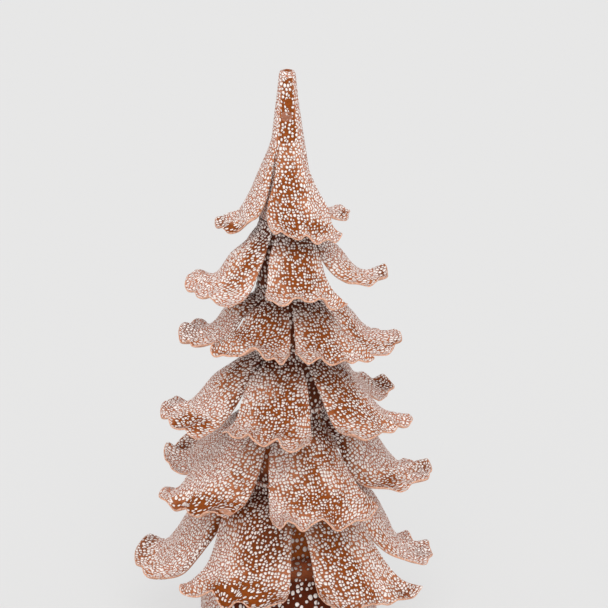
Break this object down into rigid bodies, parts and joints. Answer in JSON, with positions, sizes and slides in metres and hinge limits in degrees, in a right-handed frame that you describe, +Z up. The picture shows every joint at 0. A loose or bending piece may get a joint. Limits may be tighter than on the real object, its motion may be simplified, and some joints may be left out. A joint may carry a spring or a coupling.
{
  "type": "ceramic christmas tree",
  "caption": "Hand-built ceramic christmas tree: hollow stacked sections with rings of drooping, ruffled slab leaves, a slender blunt peak and a bell foot, in beaded white glaze over brown clay.",
  "frame": {"origin": "middle of the flat rim that the foot stands on", "axes": "+Z up along the axis of the stack, -Y the front as pictured, +X to the right of the picture"},
  "size_m": [0.3031, 0.2803, 0.582],
  "materials": {
    "foot_glaze": "brown clay under large beads of white glaze",
    "core_glaze": "brown clay under small beads of white glaze",
    "leaf_glaze": "brown clay under crawled white glaze, with bare salmon edges"
  },
  "bodies": {
    "base": {"foot_bell": "foot_glaze", "tier_6_core": "core_glaze", "tier_6_left_leaf": "leaf_glaze", "tier_6_front_left_leaf": "leaf_glaze", "tier_6_front_right_leaf": "leaf_glaze", "tier_6_right_leaf": "leaf_glaze", "tier_6_back_right_leaf": "leaf_glaze", "tier_6_back_left_leaf": "leaf_glaze"},
    "tier_5": {"tier_5_core": "core_glaze", "tier_5_front_left_leaf": "leaf_glaze", "tier_5_front_leaf": "leaf_glaze", "tier_5_right_leaf": "leaf_glaze", "tier_5_back_right_leaf": "leaf_glaze", "tier_5_back_leaf": "leaf_glaze", "tier_5_back_left_leaf": "leaf_glaze"},
    "tier_4": {"tier_4_core": "core_glaze", "tier_4_left_leaf": "leaf_glaze", "tier_4_front_leaf": "leaf_glaze", "tier_4_front_right_leaf": "leaf_glaze", "tier_4_right_leaf": "leaf_glaze", "tier_4_back_leaf": "leaf_glaze", "tier_4_back_left_leaf": "leaf_glaze"},
    "tier_3": {"tier_3_core": "core_glaze", "tier_3_left_leaf": "leaf_glaze", "tier_3_front_left_leaf": "leaf_glaze", "tier_3_front_right_leaf": "leaf_glaze", "tier_3_right_leaf": "leaf_glaze", "tier_3_back_right_leaf": "leaf_glaze", "tier_3_back_left_leaf": "leaf_glaze"},
    "tier_2": {"tier_2_core": "core_glaze", "tier_2_left_leaf": "leaf_glaze", "tier_2_front_leaf": "leaf_glaze", "tier_2_right_leaf": "leaf_glaze", "tier_2_back_right_leaf": "leaf_glaze", "tier_2_back_left_leaf": "leaf_glaze"},
    "peak": {"peak_core": "core_glaze", "peak_left_leaf": "leaf_glaze", "peak_front_leaf": "leaf_glaze", "peak_right_leaf": "leaf_glaze", "peak_back_leaf": "leaf_glaze"}
  },
  "joints": [
    {"name": "lift_tier_5", "type": "slide", "parent": "base", "child": "tier_5", "axis": [0, 0, 1], "range_m": [0, 0.06]},
    {"name": "lift_tier_4", "type": "slide", "parent": "tier_5", "child": "tier_4", "axis": [0, 0, 1], "range_m": [0, 0.06]},
    {"name": "lift_tier_3", "type": "slide", "parent": "tier_4", "child": "tier_3", "axis": [0, 0, 1], "range_m": [0, 0.06]},
    {"name": "lift_tier_2", "type": "slide", "parent": "tier_3", "child": "tier_2", "axis": [0, 0, 1], "range_m": [0, 0.06]},
    {"name": "lift_peak", "type": "slide", "parent": "tier_2", "child": "peak", "axis": [0, 0, 1], "range_m": [0, 0.06]}
  ]
}
